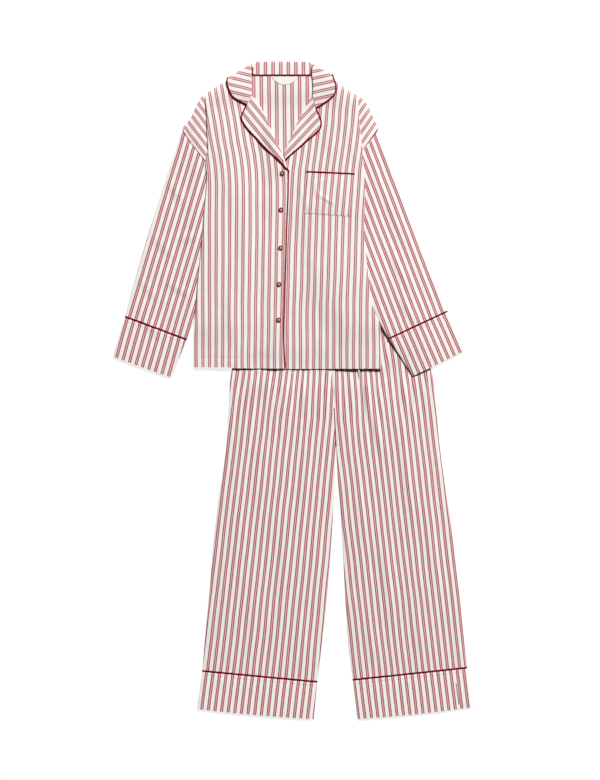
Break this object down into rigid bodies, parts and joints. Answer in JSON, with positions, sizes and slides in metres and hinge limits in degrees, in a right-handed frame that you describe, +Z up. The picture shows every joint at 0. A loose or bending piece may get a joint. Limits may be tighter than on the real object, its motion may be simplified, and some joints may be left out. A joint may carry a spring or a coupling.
{
  "type": "pyjama set laid flat",
  "caption": "Striped cotton pyjamas laid flat: a buttoned jacket with a notched collar and chest pocket over straight trousers.",
  "frame": {"origin": "on the surface that the set lies on, under the middle of the whole laid set", "axes": "+Z up from the surface, +Y from the trousers' hems to the collar, +X to the wearer's left"},
  "size_m": [0.896, 1.6433, 0.0153],
  "materials": {
    "striped_cotton": "matt woven cotton, cream with twin rose pinstripes",
    "piping": "dark red corded piping",
    "label": "bare cream woven label",
    "button": "dark brown with a paler worn middle"
  },
  "bodies": {
    "root": {"button_1": "button", "button_2": "button", "button_3": "button", "button_4": "button", "button_5": "button", "collar": "striped_cotton", "collar_piping": "piping", "cuff_left": "striped_cotton", "cuff_left_piping": "piping", "cuff_right": "striped_cotton", "cuff_right_piping": "piping", "front_piping_left": "piping", "front_piping_right": "piping", "hem_band_left": "striped_cotton", "hem_band_left_piping": "piping", "hem_band_right": "striped_cotton", "hem_band_right_piping": "piping", "jacket_back": "striped_cotton", "jacket_front_left": "striped_cotton", "jacket_front_right": "striped_cotton", "lapel_left": "striped_cotton", "lapel_right": "striped_cotton", "leg_back_left": "striped_cotton", "leg_back_right": "striped_cotton", "leg_front_left": "striped_cotton", "leg_front_right": "striped_cotton", "neck_label": "label", "neck_piping": "piping", "pocket": "striped_cotton", "pocket_piping": "piping", "sleeve_left": "striped_cotton", "sleeve_right": "striped_cotton", "waistband": "striped_cotton"}
  },
  "joints": []
}
